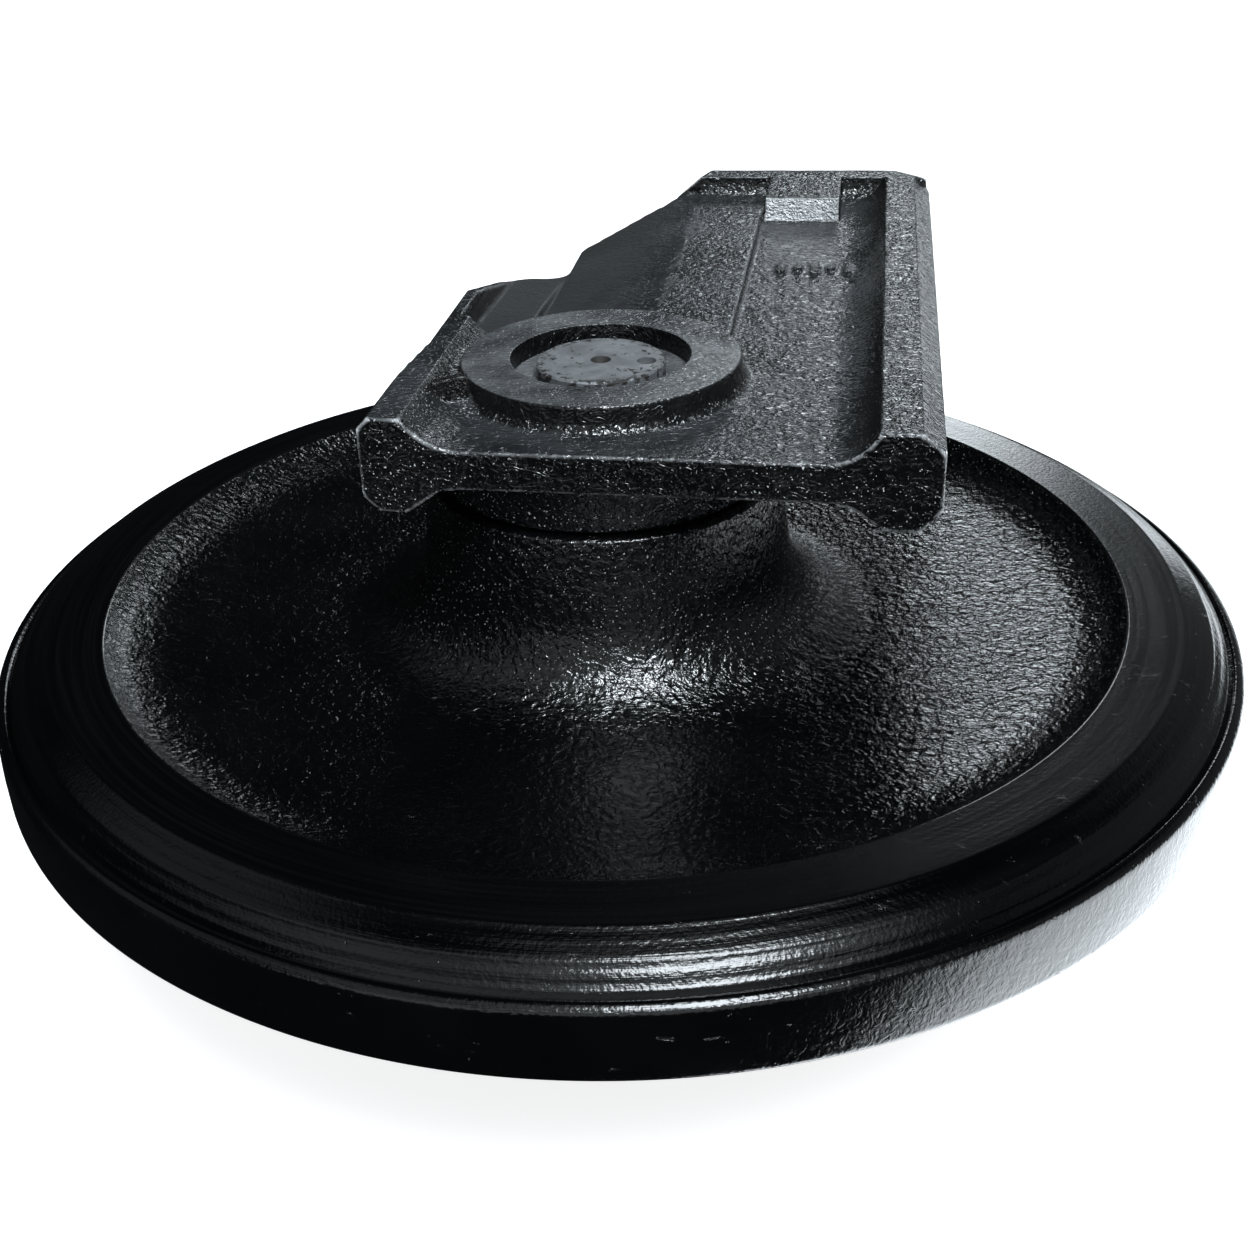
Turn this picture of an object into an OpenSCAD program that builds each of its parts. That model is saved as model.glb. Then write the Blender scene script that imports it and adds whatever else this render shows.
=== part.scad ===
// Front idler of a tracked excavator: a cast wheel on a fixed shaft, carried
// between two slide brackets. Lies with the wheel axis vertical (Z); the brackets run
// toward +Y. Origin: shaft axis at the wheel's mid plane. Millimetres.

/* [Wheel] */
// Largest diameter of the wheel, over its centre flange
wheel_od = 590; // [540:1:640]
// Width of the centre flange
flange_w = 33; // [26:1:40]
// Width of the rim over its two flat side rings
rim_w = 64; // [58:1:72]
// Outer diameter of the flat side ring
side_ring_od = 536.4; // [510:0.2:545]
// Inner diameter of the flat side ring
side_ring_id = 487.4; // [460:0.2:500]
// Thickness of the web at the rim
web_w = 38; // [30:1:44]
// Thickness of the web at the hub
web_hub_w = 27; // [22:1:32]
// Length of the hub
hub_w = 176.6; // [170:0.2:180]
// Hub diameter at its end face
hub_od = 168; // [160:1:174]
// Hub diameter at the foot of its fillet
hub_root_od = 184; // [178:1:196]
// Radius of the hub fillet
hub_fillet = 34; // [20:1:40]

/* [Shaft] */
// Shaft diameter
shaft_d = 60; // [56:1:62]
// Shaft length
shaft_len = 281; // [276:1:284]
// Bevel on the shaft ends
shaft_bevel = 0.8; // [0.4:0.1:2]
// Diameter of the centre drilling at its mouth
centre_d = 9.6; // [6:0.1:12]
// Distance of the filler hole from the shaft axis
plug_x = 21.5; // [18:0.5:23]

/* [Bearing] */
// Outer diameter of the bushing
bush_od = 70; // [66:1:74]
// Length of the bushing under its flange
bush_len = 54; // [45:1:58]
// Diameter of the bushing flange
bush_flange_od = 84; // [78:1:88]
// Running clearance of the bushing on the shaft, on the radius
bush_clear = 0.05; // [0.02:0.01:0.09]

/* [Seals] */
// Diameter of the seal housings
seal_bore_d = 98; // [96:1:102]
// Thickness of the rubber seal rings
rubber_d = 8.4; // [7.6:0.1:8.6]
// Gap between wheel hub and bracket boss
hub_gap = 1.3; // [0.8:0.1:2]

/* [Bracket] */
// Distance from the shaft axis to the left rail's outer face
rail_left = 93.5; // [88:0.5:98]
// Distance from the shaft axis to the right rail's outer face
rail_right = 154.4; // [148:0.2:160]
// Distance from the shaft axis to the front end
front_len = 89; // [84:1:96]
// Distance from the shaft axis to the rear end
rear_len = 335; // [325:1:350]
// Height of the rail tops above the wheel's mid plane
rail_top = 145; // [142:0.5:148]
// Height of the rail undersides
rail_low = 100.9; // [96:0.1:104]
// Height of the tray floor
floor_z = 130.8; // [128:0.1:133]
// Height of the tray's underside
under_z = 112.7; // [111:0.1:115]
// Height of the raised left part of the floor
shelf_z = 134.2; // [132:0.1:135]
// Outer diameter of the boss ring at its top
boss_od = 128.6; // [120:0.2:136]
// Outer diameter of the boss ring at its root
boss_root_od = 137.2; // [134:0.2:146]
// Height of the boss ring
boss_top = 143.3; // [141:0.1:144.5]
// Diameter of the recess round the shaft end
recess_d = 83.7; // [78:0.1:90]
// Depth of the recess
recess_depth = 10; // [6:0.5:12]
// Diameter of the inner boss facing the hub
inner_boss_od = 160; // [150:1:166]
// Size of the tapped hole in the rear lug
tap_d = 17.5; // [15:0.5:20]
// Depth of the tapped hole
tap_depth = 45; // [30:1:60]

/* [Lock pin] */
// Diameter of the lock pin
pin_d = 8; // [6:0.5:9]
// Length of the lock pin
pin_len = 50; // [46:1:54]

/* [Hidden] */
$fn = 96;
eps = 0.01;
wheel_r = wheel_od / 2;
hub_h = hub_w / 2;
rim_h = rim_w / 2;
web_h = web_w / 2;
web_hub_h = web_hub_w / 2;
shaft_r = shaft_d / 2;
seal_r = seal_bore_d / 2;
boss_low = hub_h + hub_gap;
seal_mid = hub_h + hub_gap / 2;
seal_in = 16;
flange_t = 5;
bush_top = hub_h - seal_in;
face_gap = 0.3;
metal_ri = shaft_r + 3;
metal_rb = seal_r - rubber_d - 0.1;
metal_rf = seal_r - 2;
metal_ft = 4;
metal_len = 14.5;
rubber_rc = seal_r - rubber_d / 2 - 0.05;
rubber_zc = metal_ft + 0.5 + rubber_d / 2;
oring_r = 2;
oring_z = 110.5;
pin_turn = 211;
pin_tilt = 16;
pin_in = 22;
pin_in_z = 119;
lug_l = 57.5;
lug_r = 101;
lug_y = 267;
wall_y = rear_len - 18;
step_x = 55;
bend_x = 13;
root_x = -48;
root_z = 124.5;

// ---- helpers ----

function arc_pts(x, y, r, a0, a1, n) =
  [for (i = [0:n]) [x + r * cos(a0 + (a1 - a0) * i / n), y + r * sin(a0 + (a1 - a0) * i / n)]];

module below() mirror([0, 0, 1]) children();

module along_y(y0, y1) {
  translate([0, y1, 0]) rotate([90, 0, 0]) linear_extrude(height = y1 - y0) children();
}

// a ring round Z from radius ri to ro, standing from z0 to z1
module tube(ri, ro, z0, z1) {
  translate([0, 0, z0]) difference() {
    cylinder(r = ro, h = z1 - z0);
    translate([0, 0, -1]) cylinder(r = ri, h = z1 - z0 + 2);
  }
}

// ---- wheel ----

// outline of the upper half, from the mid plane up
module wheel_half() {
  polygon([
    [seal_r + 8, -eps],
    [wheel_r, -eps],
    [wheel_r - 0.3, flange_w / 2 - 4],
    [wheel_r - 1, flange_w / 2 - 1.2],
    [wheel_r - 2.4, flange_w / 2 + 0.6],
    [wheel_r - 4.2, flange_w / 2 + 1],
    [wheel_r - 5.6, flange_w / 2 + 0.4],
    [wheel_r - 6.4, flange_w / 2 - 0.4],
    [wheel_r - 7.6, flange_w / 2 + 1.6],
    [side_ring_od / 2, rim_h],
    [side_ring_id / 2, rim_h],
    [side_ring_id / 2 - 1.5, rim_h - 1],
    [side_ring_id / 2 - 8, rim_h - 7.5],
    [side_ring_id / 2 - 20, web_h + 1],
    [side_ring_id / 2 - 34, web_h - 0.8],
    [hub_root_od / 2 + hub_fillet, web_hub_h],
    [hub_root_od / 2, web_hub_h],
    [hub_root_od / 2, web_hub_h + 24],
    [hub_od / 2, hub_h - 2],
    [hub_od / 2 - 2, hub_h],
    [seal_r + 8, hub_h]
  ]);
}

// concave fillet between hub and side wall
module hub_root() {
  cx = hub_root_od / 2 + hub_fillet;
  cz = web_hub_h + hub_fillet;
  difference() {
    translate([hub_root_od / 2 - 4, web_hub_h - 1]) square([hub_fillet + 4, hub_fillet + 1]);
    translate([cx, cz]) circle(r = hub_fillet, $fn = 96);
  }
}

// sleeve of the hub: bushing seat, flange seat, seal housing, oil space
module hub_sleeve() {
  difference() {
    translate([bush_od / 2, -eps]) square([seal_r + 9 - bush_od / 2, hub_h]);
    translate([0, bush_top]) square([seal_r, hub_h]);
    translate([0, bush_top - flange_t]) square([bush_flange_od / 2, 20]);
    translate([0, -1]) square([bush_od / 2 + 6, bush_top - flange_t - bush_len + 1]);
  }
}

module wheel() {
  color([0.16, 0.16, 0.17]) rotate_extrude($fn = 240) {
    for (m = [0, 1]) mirror([0, m]) {
      difference() {
        union() {
          wheel_half();
          hub_root();
        }
        translate([0, hub_h - 1]) square([seal_r, 4]);
      }
      hub_sleeve();
    }
  }
}

// ---- bearing and shaft ----

module bushing() {
  z1 = bush_top;
  color([0.72, 0.53, 0.3]) {
    difference() {
      union() {
        translate([0, 0, z1 - flange_t - bush_len]) cylinder(r = bush_od / 2, h = bush_len + 1);
        translate([0, 0, z1 - flange_t]) cylinder(r = bush_flange_od / 2, h = flange_t);
      }
      cylinder(r = shaft_r + bush_clear, h = 200);
    }
  }
}

module shaft() {
  h = shaft_len / 2;
  color([0.55, 0.55, 0.56]) difference() {
    union() {
      translate([0, 0, -h + shaft_bevel]) cylinder(r = shaft_r, h = shaft_len - 2 * shaft_bevel);
      for (m = [0, 1]) mirror([0, 0, m]) translate([0, 0, h - shaft_bevel])
        cylinder(r1 = shaft_r, r2 = shaft_r - shaft_bevel, h = shaft_bevel);
    }
    for (m = [0, 1]) mirror([0, 0, m]) translate([0, 0, h]) {
      translate([0, 0, -4.2]) cylinder(r1 = 0.6, r2 = centre_d / 2, h = 4.21);
      translate([0, 0, -9]) cylinder(r = 2, h = 8);
      translate([-plug_x - 0.8, 0, -4]) cylinder(r = 1.8, h = 5);
    }
    translate([plug_x, 0, h - 16]) cylinder(r = 4.5, h = 20);
    translate([plug_x, 0, -30]) cylinder(r = 3, h = h);
    translate([plug_x, 0, -20]) rotate([0, 90, 0]) cylinder(r = 3, h = 20);
    for (m = [0, 1]) mirror([0, 0, m]) pin_solid(pin_d / 2);
  }
}

// ---- floating seals ----

// metal ring, running face at z = 0, body below
module metal_ring() {
  color([0.42, 0.43, 0.45]) rotate_extrude() polygon([
    [metal_ri, 0],
    [metal_rf, 0],
    [metal_rf, -metal_ft],
    [metal_rb, -metal_ft - 0.4],
    [metal_rb, -metal_len + 1],
    [metal_rb - 1, -metal_len],
    [metal_ri, -metal_len]
  ]);
}

module rubber_ring() {
  color([0.09, 0.09, 0.09]) rotate_extrude()
    translate([rubber_rc, -rubber_zc]) circle(r = rubber_d / 2, $fn = 48);
}

module seal_turning() translate([0, 0, seal_mid - face_gap / 2]) children();

module seal_fixed() translate([0, 0, seal_mid + face_gap / 2]) mirror([0, 0, 1]) children();

module o_ring() {
  color([0.08, 0.08, 0.08]) rotate_extrude()
    translate([shaft_r + oring_r + 0.05, oring_z]) circle(r = oring_r, $fn = 36);
}

// ---- brackets ----

// section of the tray across the rails, before the floor is sunk
module tray_outline() {
  polygon([
    [-rail_left, rail_low + 9],
    [-rail_left, rail_top - 7],
    [-rail_left + 6.5, rail_top],
    [rail_right - 9.4, rail_top],
    [rail_right, rail_top - 7.5],
    [rail_right, rail_low + 10.1],
    [rail_right - 8.9, rail_low],
    [rail_right - 23.4, rail_low],
    [rail_right - 33.4, under_z - 4.2],
    [rail_right - 41.4, under_z],
    [-rail_left + 45.5, under_z],
    [-rail_left + 36.5, under_z - 1.2],
    [-rail_left + 21.5, rail_low],
    [-rail_left + 9, rail_low]
  ]);
}

// the sunk floor, with its two long fillets
module floor_cut() {
  xl = -rail_left + 47.5;
  xr = rail_right - 48.4;
  translate([xl, floor_z]) square([xr - xl, 40]);
  intersection() {
    translate([xl, floor_z + 32]) circle(r = 32, $fn = 128);
    translate([xl - 40, floor_z - 1]) square([40 + eps, 40]);
  }
  intersection() {
    translate([xr, floor_z + 24]) circle(r = 24, $fn = 128);
    translate([xr - eps, floor_z - 1]) square([40, 40]);
  }
}

// plan outline of the casting
module plan() {
  polygon(concat(
    [[-rail_left, -front_len], [rail_right, -front_len]],
    arc_pts(rail_right - 26, rear_len - 26, 26, 0, 90, 12),
    [[20, rear_len], [2, rear_len - 11]],
    arc_pts(-35.5, 222, 12, 153, 180, 4),
    arc_pts(-60.5, 184, 13, 0, -88, 8),
    arc_pts(-63.6, 151, 20, 88, 180, 10)
  ));
}

module end_wall() {
  translate([-rail_left, wall_y, rail_low]) cube([rail_left + rail_right, 30, rail_top - rail_low]);
}

// bevel on the left end of the end wall
module wall_bevel() {
  translate([13.5, wall_y, rail_top]) rotate([0, 0, -17]) rotate([0, -42, 0])
    translate([-60, -25, 0]) cube([60, 60, 60]);
}

// round foundry fillet where the floor meets the end wall
module wall_fillet() {
  difference() {
    translate([-60, wall_y - 11, floor_z - 1]) cube([rail_right + 50, 12, 12]);
    translate([-70, wall_y - 12, floor_z + 12]) rotate([0, 90, 0]) cylinder(r = 12, h = 240, $fn = 96);
  }
}

module rear_lug() {
  translate([lug_l, lug_y, under_z]) cube([lug_r - lug_l, wall_y - lug_y + 5, rail_top - under_z]);
}

// plain raised bars cast on the floor
module cast_marks() {
  for (i = [0:4])
    translate([71 + i * 9, 163 + (i % 2) * 5, floor_z - 1]) cube([4, 16 - (i % 2) * 8, 2.4]);
}

module pin_solid(r, extra = 0) {
  rotate([0, 0, pin_turn]) translate([pin_in, 0, pin_in_z]) rotate([0, 90 - pin_tilt, 0])
    cylinder(r = r, h = pin_len + extra, $fn = 48);
}

// wedge on the boss that takes the lock pin: a ridge with one long sloping face
module pin_lug() {
  rotate([0, 0, pin_turn]) difference() {
    translate([52, 0, 0]) rotate([90, 0, 90]) linear_extrude(height = 38)
      polygon([[-11, under_z + 5], [20, under_z + 5], [20, floor_z - 0.5], [0, boss_top - 3.8],
        [-6, boss_top - 3.8], [-11, floor_z]]);
    translate([85, -30, boss_top - 4]) rotate([0, 34, 0]) translate([0, 0, -40]) cube([30, 60, 60]);
  }
}

module boss_ring() {
  translate([0, 0, under_z]) cylinder(r = boss_root_od / 2, h = floor_z - under_z);
  translate([0, 0, floor_z]) cylinder(r1 = boss_root_od / 2, r2 = boss_od / 2 + 1.6, h = 4);
  translate([0, 0, floor_z + 4])
    cylinder(r1 = boss_od / 2 + 1.6, r2 = boss_od / 2 + 0.8, h = boss_top - floor_z - 4.8);
  translate([0, 0, boss_top - 0.8]) cylinder(r1 = boss_od / 2 + 0.8, r2 = boss_od / 2, h = 0.8);
}

module inner_boss() {
  translate([0, 0, boss_low + 1.5])
    cylinder(r1 = inner_boss_od / 2, r2 = inner_boss_od / 2 + 5, h = under_z - boss_low);
  translate([0, 0, boss_low]) cylinder(r1 = inner_boss_od / 2 - 1.5, r2 = inner_boss_od / 2, h = 1.5 + eps);
}

// left rear of the tray: the floor is raised, then falls away to the left and rear
module left_rear_cut() {
  translate([bend_x, 40, shelf_z]) rotate([0, -90 - atan((shelf_z - root_z) / (bend_x - root_x)), 0])
    cube([40, wall_y - 40, 62]);
  translate([-77, 45, floor_z + 1.2]) rotate([-3.4, 0, 0]) cube([29 + eps, 200, 40]);
  translate([-120, 85, rail_top]) rotate([-14.4, 0, 0]) cube([43 + eps, 130, 40]);
}

// the left rail's outer face runs in toward the rear, then straight on
module rail_taper() {
  translate([1.2 - rail_left, -front_len - 1, rail_low - 5]) rotate([0, 0, -5.1])
    translate([-30, -10, 0]) cube([30, 110, 60]);
  translate([-30 - 83.6, 5, rail_low - 5]) cube([30, 200, 60]);
}

// bevel on the right rear corner, in line with the rail's outer bevel
module corner_bevel() {
  translate([142.8, 324.8, rail_top]) rotate([0, 0, 45]) rotate([0, 38.6, 0])
    translate([-20, -40, 0]) cube([60, 80, 30]);
}

module raised_floor() {
  translate([root_x, 36, under_z + 4]) cube([step_x - root_x, wall_y - 36 + 1, shelf_z - under_z - 4]);
}

module bracket() {
  z_rec = boss_top - recess_depth;
  color([0.2, 0.2, 0.21]) difference() {
    union() {
      difference() {
        intersection() {
          union() {
            difference() {
              along_y(-front_len, rear_len) tray_outline();
              along_y(-front_len - 1, wall_y) floor_cut();
            }
            end_wall();
            wall_fillet();
            raised_floor();
            rear_lug();
          }
          translate([0, 0, rail_low - 10]) linear_extrude(height = 70) plan();
        }
        left_rear_cut();
        wall_bevel();
        rail_taper();
        corner_bevel();
      }
      cast_marks();
      boss_ring();
      inner_boss();
      pin_lug();
    }
    translate([0, 0, boss_low - 10]) cylinder(r = shaft_r, h = 80);
    translate([0, 0, z_rec]) cylinder(r = recess_d / 2, h = 40);
    translate([0, 0, boss_low - 1]) cylinder(r = seal_r, h = seal_in + 1);
    translate([0, 0, oring_z - 2.5]) cylinder(r = shaft_r + 4.2, h = 5);
    translate([(lug_l + lug_r) / 2, rear_len + 1, (rail_top + under_z) / 2]) rotate([90, 0, 0])
      cylinder(r = tap_d / 2, h = tap_depth + 1);
    pin_solid(pin_d / 2, 20);
  }
}

// ---- small parts ----

module lock_pin() color([0.5, 0.5, 0.5]) pin_solid(pin_d / 2);

module oil_plug() {
  z = shaft_len / 2 - 12;
  color([0.5, 0.47, 0.36]) difference() {
    translate([plug_x, 0, z]) cylinder(r = 4.5, h = 9);
    translate([plug_x, 0, z + 4]) cylinder(r = 2.4, h = 9, $fn = 6);
  }
}

module plug_washer() {
  color([0.7, 0.42, 0.25]) translate([plug_x, 0, 0])
    tube(3, 4.5, shaft_len / 2 - 13.2, shaft_len / 2 - 12);
}

// ---- nodes ----

wheel();
bushing();  // bushing_upper
below() bushing();  // bushing_lower
shaft();
bracket();  // bracket_upper
below() bracket();  // bracket_lower
seal_turning() metal_ring();  // seal_ring_turning_upper
below() seal_turning() metal_ring();  // seal_ring_turning_lower
seal_fixed() metal_ring();  // seal_ring_fixed_upper
below() seal_fixed() metal_ring();  // seal_ring_fixed_lower
seal_turning() rubber_ring();  // rubber_turning_upper
below() seal_turning() rubber_ring();  // rubber_turning_lower
seal_fixed() rubber_ring();  // rubber_fixed_upper
below() seal_fixed() rubber_ring();  // rubber_fixed_lower
o_ring();  // o_ring_upper
below() o_ring();  // o_ring_lower
lock_pin();  // lock_pin_upper
below() lock_pin();  // lock_pin_lower
oil_plug();
plug_washer();
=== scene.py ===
import math
import bmesh
import bpy
import numpy as np
from mathutils import Matrix, Vector


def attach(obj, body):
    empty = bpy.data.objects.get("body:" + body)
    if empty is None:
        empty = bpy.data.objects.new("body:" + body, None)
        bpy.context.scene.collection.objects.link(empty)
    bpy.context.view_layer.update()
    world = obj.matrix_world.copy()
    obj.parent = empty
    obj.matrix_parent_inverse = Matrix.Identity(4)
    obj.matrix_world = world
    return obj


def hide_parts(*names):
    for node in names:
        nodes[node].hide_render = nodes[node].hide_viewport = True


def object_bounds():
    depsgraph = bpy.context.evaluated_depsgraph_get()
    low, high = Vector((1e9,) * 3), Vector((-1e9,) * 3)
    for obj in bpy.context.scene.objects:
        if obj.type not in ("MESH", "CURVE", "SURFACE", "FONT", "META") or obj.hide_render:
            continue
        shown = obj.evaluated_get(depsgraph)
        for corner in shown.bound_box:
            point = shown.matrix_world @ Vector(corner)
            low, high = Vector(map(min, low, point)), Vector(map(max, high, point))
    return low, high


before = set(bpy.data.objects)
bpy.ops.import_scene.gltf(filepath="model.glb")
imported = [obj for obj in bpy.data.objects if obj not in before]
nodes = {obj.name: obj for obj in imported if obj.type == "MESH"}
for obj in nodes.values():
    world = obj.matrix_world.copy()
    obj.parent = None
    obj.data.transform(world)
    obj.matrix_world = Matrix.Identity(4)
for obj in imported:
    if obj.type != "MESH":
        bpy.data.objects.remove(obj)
cad_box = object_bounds()

# ---- Camera ----
# A near view from above the short front end, looking down along the brackets.
# The lens is a little longer than normal and its middle sits a touch off the picture's middle.
view_from = Vector((0.1207867, -0.7058521, 0.4053643))
view_dir = Vector((-0.18417662, 0.87440346, -0.4488848))
view_right = Vector((0.98195996, 0.1835885, -0.04527587))
view_up = Vector((-0.04282071, 0.44912565, 0.89244189))
camera_data = bpy.data.cameras.new("camera")
camera_data.lens = 46.98
camera_data.sensor_width = 36.0
camera_data.shift_x = 0.06055
camera_data.shift_y = -0.06561
camera_data.clip_start = 0.02
camera = bpy.data.objects.new("camera", camera_data)
camera.matrix_world = Matrix.Translation(view_from) @ Matrix(
    (view_right, view_up, -view_dir)).transposed().to_4x4()
bpy.context.scene.collection.objects.link(camera)
bpy.context.scene.camera = camera

# ---- Wheel ----
# One iron casting: a dished web between a thick hub and a rim with a raised centre flange.
# The rim's side rings, cones and shoulders are turned on a lathe, the web, the hub's
# foot and the flange keep the foundry skin; the whole wheel is dipped in black gloss paint.
MM = 0.001
WHEEL_STEPS = 336


def add(tree, kind, inputs=None, **settings):
    """one node with its settings; inputs take a value or another node's output"""
    made = tree.nodes.new(kind)
    for key, value in settings.items():
        setattr(made, key, value)
    for key, value in (inputs or {}).items():
        if isinstance(value, bpy.types.NodeSocket):
            tree.links.new(value, made.inputs[key])
        else:
            made.inputs[key].default_value = value
    return made


def sums(tree, operation, a, b=0.0, c=0.0):
    """a maths node's result"""
    return add(tree, "ShaderNodeMath", {0: a, 1: b, 2: c}, operation=operation).outputs[0]


def ramp(tree, value, low, high, to_low=0.0, to_high=1.0, kind="SMOOTHSTEP"):
    """value taken from low..high to to_low..to_high"""
    return add(tree, "ShaderNodeMapRange", {"Value": value, "From Min": low, "From Max": high,
               "To Min": to_low, "To Max": to_high}, interpolation_type=kind).outputs[0]


def noise(tree, vector, scale, detail, rough, twist=0.0):
    """a noise texture's value"""
    return add(tree, "ShaderNodeTexNoise", {"Vector": vector, "Scale": scale, "Detail": detail,
               "Roughness": rough, "Distortion": twist}).outputs["Fac"]


def stretch(tree, vector, scale, turn=(0, 0, 0)):
    """the vector turned and scaled"""
    return add(tree, "ShaderNodeMapping", {"Vector": vector, "Scale": scale, "Rotation": turn}).outputs[0]


def mix_colour(tree, factor, a, b):
    """colour a passing into colour b"""
    made = add(tree, "ShaderNodeMix", {0: factor}, data_type="RGBA")
    for index, value in ((6, a), (7, b)):
        if isinstance(value, bpy.types.NodeSocket):
            tree.links.new(value, made.inputs[index])
        else:
            made.inputs[index].default_value = value
    return made.outputs[2]


def new_group(name, ins, outs):
    """a node group with its sockets, and its input and output nodes"""
    made = bpy.data.node_groups.new(name, "ShaderNodeTree")
    for label, kind, value in ins:
        socket = made.interface.new_socket(name=label, in_out="INPUT", socket_type=kind)
        if value is not None:
            socket.default_value = value
    for label in outs:
        made.interface.new_socket(name=label, in_out="OUTPUT", socket_type="NodeSocketFloat")
    return made, add(made, "NodeGroupInput"), add(made, "NodeGroupOutput")


# Foundry skin under paint: pebbles from the sand, wormy wrinkles, small pits and slow clouds.
cast_skin, given, out = new_group("cast_skin", (
    ("Vector", "NodeSocketVector", None), ("Pebbles", "NodeSocketFloat", 0.6),
    ("Wrinkles", "NodeSocketFloat", 0.4), ("Fine", "NodeSocketFloat", 0.2)),
    ("Height", "Pits", "Cloud", "Sparkle"))
t = cast_skin
pebble = noise(t, given.outputs["Vector"], 215, 1.2, 0.45, 0.6)
worm = stretch(t, given.outputs["Vector"], (1.0, 2.3, 1.3), (0, 0, 0.12))
worm = noise(t, worm, 120, 1.6, 0.5, 1.6)
worm = sums(t, "ABSOLUTE", sums(t, "SUBTRACT", worm, 0.5))
worm = ramp(t, worm, 0.0, 0.16)
fine = noise(t, given.outputs["Vector"], 620, 1, 0.5)
height = sums(t, "MULTIPLY", pebble, given.outputs["Pebbles"])
height = sums(t, "MULTIPLY_ADD", worm, given.outputs["Wrinkles"], height)
height = sums(t, "MULTIPLY_ADD", fine, given.outputs["Fine"], height)
pit = noise(t, stretch(t, given.outputs["Vector"], (0.8, 1.9, 1.2)), 120, 4, 0.65, 0.8)
pit = ramp(t, pit, 0.66, 0.71)
cloud = noise(t, given.outputs["Vector"], 16, 5, 0.6, 0.4)
sparkle = ramp(t, noise(t, given.outputs["Vector"], 820, 1, 0.5), 0.69, 0.74)
t.links.new(sums(t, "SUBTRACT", height, sums(t, "MULTIPLY", pit, 0.6)), out.inputs["Height"])
t.links.new(pit, out.inputs["Pits"])
t.links.new(cloud, out.inputs["Cloud"])
t.links.new(sparkle, out.inputs["Sparkle"])

# Lathe marks: fine rings round the axis that come and go along their length.
lathe_rings, given, out = new_group("lathe_rings", (
    ("Vector", "NodeSocketVector", None), ("Rings", "NodeSocketFloat", 900.0),
    ("Length", "NodeSocketFloat", 2.0)), ("Height", "Streak"))
t = lathe_rings
xyz = add(t, "ShaderNodeSeparateXYZ", {0: given.outputs["Vector"]}).outputs
flat = add(t, "ShaderNodeCombineXYZ", {0: xyz[0], 1: xyz[1], 2: 0.0}).outputs[0]
radius = add(t, "ShaderNodeVectorMath", {0: flat}, operation="LENGTH").outputs["Value"]
round_it = add(t, "ShaderNodeVectorMath", {0: flat}, operation="NORMALIZE").outputs[0]
xy = add(t, "ShaderNodeSeparateXYZ", {0: round_it}).outputs
along_x = sums(t, "MULTIPLY", xy[0], given.outputs["Length"])
along_y = sums(t, "MULTIPLY", xy[1], given.outputs["Length"])
across = sums(t, "MULTIPLY", radius, given.outputs["Rings"])
depth = sums(t, "MULTIPLY", xyz[2], 160.0)
across = sums(t, "ADD", across, depth)
line = add(t, "ShaderNodeCombineXYZ", {0: across, 1: along_x, 2: along_y}).outputs[0]
across_wide = sums(t, "MULTIPLY", across, 0.22)
wide = add(t, "ShaderNodeCombineXYZ", {0: across_wide, 1: along_x, 2: along_y}).outputs[0]
t.links.new(noise(t, line, 1.0, 3, 0.6), out.inputs["Height"])
t.links.new(noise(t, wide, 1.0, 2, 0.5), out.inputs["Streak"])


def new_material(name):
    """a material with its tree, its shader and the object's own coordinates"""
    mat = bpy.data.materials.new(name)
    mat.use_nodes = True
    tree = mat.node_tree
    place = add(tree, "ShaderNodeTexCoord").outputs["Object"]
    return mat, tree, tree.nodes["Principled BSDF"], place


BARE_METAL_AND_GLINT = (0.62, 0.64, 0.66, 1)
PIT_BLACK = (0.004, 0.004, 0.005, 1)


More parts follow.
